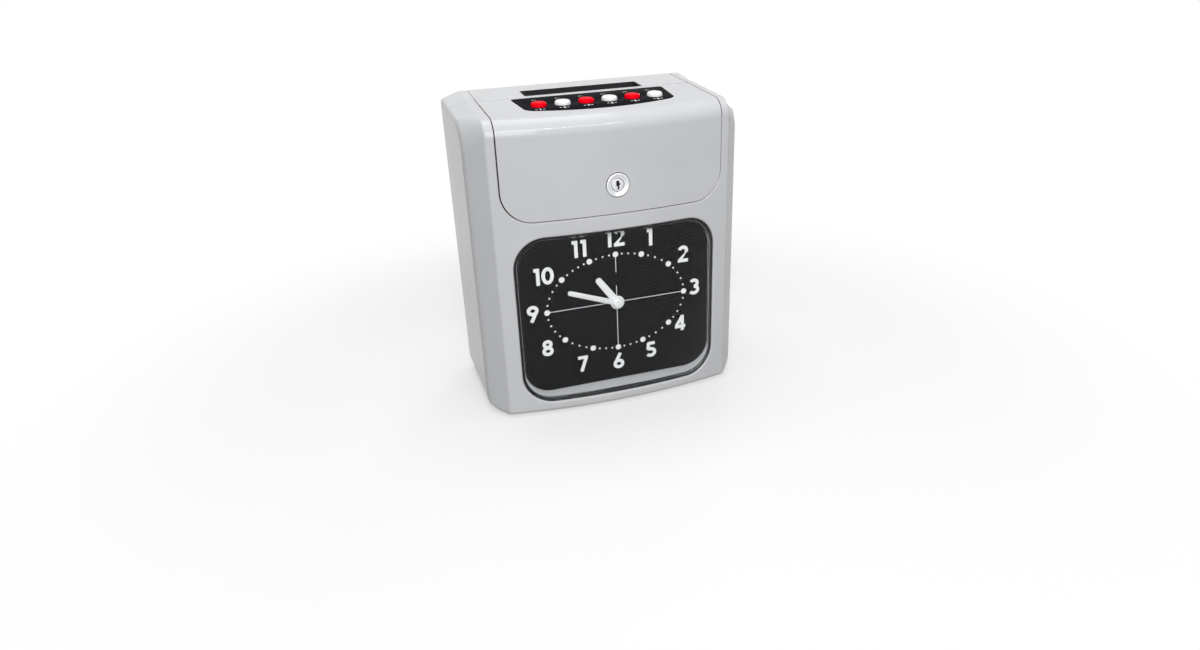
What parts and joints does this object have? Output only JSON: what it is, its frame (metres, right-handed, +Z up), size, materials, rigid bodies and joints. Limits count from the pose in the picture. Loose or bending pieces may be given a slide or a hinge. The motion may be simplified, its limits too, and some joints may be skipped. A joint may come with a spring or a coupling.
{
  "type": "time clock",
  "caption": "Desk time recorder: analogue dial behind a clear window, hinged lid with lock and round keys, card slot in the sloping top.",
  "frame": {"origin": "on the table, under the middle of the case's footprint", "axes": "+X to the right as seen from the front, +Y to the rear, +Z up; the dial faces -Y"},
  "size_m": [0.21, 0.1128, 0.2367],
  "materials": {
    "shell": "moulded ABS, smooth light silver grey",
    "black_panel": "printed polyester overlay, black",
    "key_red": "moulded, red",
    "key_white": "moulded, white",
    "lock_metal": "satin nickel plate",
    "clear_window": "clear moulded acrylic",
    "dial_black": "printed black, satin",
    "hand_white": "white lacquer",
    "black_plastic": "moulded, fine texture",
    "grey_plastic": "moulded acetal",
    "steel": "turned or stamped, bright",
    "sheet_steel": "zinc-plated sheet",
    "motor_can": "drawn can, zinc plate",
    "brass": "turned",
    "rubber": "moulded, matt",
    "circuit_board": "solder mask, green",
    "copper_winding": "varnished winding and core",
    "battery_sleeve": "shrink sleeve, blue"
  },
  "bodies": {
    "case": {"front_housing": "shell", "rear_case": "shell", "rear_deck": "shell", "hinge_pin_left": "steel", "hinge_pin_right": "steel", "keeper_plate": "steel", "window_lens": "clear_window", "dial_bezel": "shell", "dial_plate": "dial_black", "movement_case": "black_plastic", "card_throat": "black_plastic", "chute_front": "black_plastic", "chute_rear": "black_plastic", "platen_bar": "rubber", "mech_frame": "sheet_steel", "feed_motor": "motor_can", "guide_rod": "steel", "carriage_motor": "motor_can", "ribbon_cassette": "black_plastic", "main_board": "circuit_board", "transformer": "copper_winding", "backup_battery": "battery_sleeve", "power_inlet": "black_plastic", "foot_front_left": "rubber", "foot_front_right": "rubber", "foot_rear_left": "rubber", "foot_rear_right": "rubber", "case_screw_lower_left": "steel", "case_screw_lower_right": "steel", "case_screw_upper_left": "steel", "case_screw_upper_right": "steel"},
    "lid": {"front_lid": "shell", "button_panel": "black_panel", "keypad_board": "circuit_board", "lock_body": "lock_metal", "lock_nut": "steel"},
    "key_1": {"button_1": "key_red"},
    "key_2": {"button_2": "key_white"},
    "key_3": {"button_3": "key_red"},
    "key_4": {"button_4": "key_white"},
    "key_5": {"button_5": "key_red"},
    "key_6": {"button_6": "key_white"},
    "lock": {"lock_plug": "lock_metal", "lock_cam": "steel"},
    "minute": {"minute_hand": "hand_white", "hand_cap": "hand_white", "minute_arbor": "brass"},
    "hour": {"hour_hand": "hand_white", "hour_pipe": "brass"},
    "motion_work": {"motion_wheel": "brass", "set_knob": "grey_plastic"},
    "feed_drive": {"feed_shaft": "steel", "feed_roller": "rubber", "feed_gear": "grey_plastic"},
    "feed_pinion": {"feed_pinion": "brass"},
    "pinch": {"pinch_roller": "grey_plastic"},
    "carriage": {"print_carriage": "grey_plastic", "print_head": "black_plastic"},
    "screw": {"lead_screw": "steel"},
    "ribbon": {"ribbon_knob": "grey_plastic"}
  },
  "joints": [
    {"name": "lid_hinge", "type": "hinge", "parent": "case", "child": "lid", "pos_m": [0, 0.013, 0.23156], "axis": [-1, 0, 0], "range_deg": [0, 70]},
    {"name": "key_1_press", "type": "slide", "parent": "lid", "child": "key_1", "axis": [0, 0.0797, -0.9968], "range_m": [0, 0.0018], "stiffness_N_per_m": 220, "springref_m": -0.0008},
    {"name": "key_2_press", "type": "slide", "parent": "lid", "child": "key_2", "axis": [0, 0.0797, -0.9968], "range_m": [0, 0.0018], "stiffness_N_per_m": 220, "springref_m": -0.0008},
    {"name": "key_3_press", "type": "slide", "parent": "lid", "child": "key_3", "axis": [0, 0.0797, -0.9968], "range_m": [0, 0.0018], "stiffness_N_per_m": 220, "springref_m": -0.0008},
    {"name": "key_4_press", "type": "slide", "parent": "lid", "child": "key_4", "axis": [0, 0.0797, -0.9968], "range_m": [0, 0.0018], "stiffness_N_per_m": 220, "springref_m": -0.0008},
    {"name": "key_5_press", "type": "slide", "parent": "lid", "child": "key_5", "axis": [0, 0.0797, -0.9968], "range_m": [0, 0.0018], "stiffness_N_per_m": 220, "springref_m": -0.0008},
    {"name": "key_6_press", "type": "slide", "parent": "lid", "child": "key_6", "axis": [0, 0.0797, -0.9968], "range_m": [0, 0.0018], "stiffness_N_per_m": 220, "springref_m": -0.0008},
    {"name": "lock_turn", "type": "hinge", "parent": "lid", "child": "lock", "pos_m": [0, -0.056, 0.1778], "axis": [0, 1, 0], "range_deg": [0, 90]},
    {"name": "minute_turn", "type": "hinge", "parent": "case", "child": "minute", "pos_m": [0, -0.056, 0.083], "axis": [0, 1, 0], "continuous": true},
    {"name": "hour_turn", "type": "hinge", "parent": "case", "child": "hour", "pos_m": [0, -0.056, 0.083], "axis": [0, 1, 0], "continuous": true},
    {"name": "motion_turn", "type": "hinge", "parent": "case", "child": "motion_work", "pos_m": [0.01453, -0.056, 0.083], "axis": [0, 1, 0], "continuous": true},
    {"name": "feed_turn", "type": "hinge", "parent": "case", "child": "feed_drive", "pos_m": [0, 0.0177, 0.122], "axis": [1, 0, 0], "continuous": true},
    {"name": "feed_pinion_turn", "type": "hinge", "parent": "case", "child": "feed_pinion", "pos_m": [0, -0.00211, 0.10813], "axis": [1, 0, 0], "continuous": true},
    {"name": "pinch_turn", "type": "hinge", "parent": "case", "child": "pinch", "pos_m": [0, 0.0329, 0.122], "axis": [1, 0, 0], "continuous": true},
    {"name": "carriage_slide", "type": "slide", "parent": "case", "child": "carriage", "axis": [1, 0, 0], "range_m": [-0.03, 0.03]},
    {"name": "screw_turn", "type": "hinge", "parent": "case", "child": "screw", "pos_m": [0, -0.009, 0.168], "axis": [1, 0, 0], "range_deg": [-541, 541]},
    {"name": "ribbon_turn", "type": "hinge", "parent": "case", "child": "ribbon", "pos_m": [-0.029, -0.011, 0.2], "axis": [0, 0, 1], "continuous": true}
  ],
  "couplings": [
    {"joint": "hour_turn", "follows": "minute_turn", "ratio": 0.083333},
    {"joint": "motion_turn", "follows": "minute_turn", "ratio": -0.33333},
    {"joint": "feed_pinion_turn", "follows": "feed_turn", "ratio": -3},
    {"joint": "pinch_turn", "follows": "feed_turn", "ratio": -1.1135},
    {"joint": "screw_turn", "follows": "carriage_slide", "rad_per_m": 314.16}
  ]
}
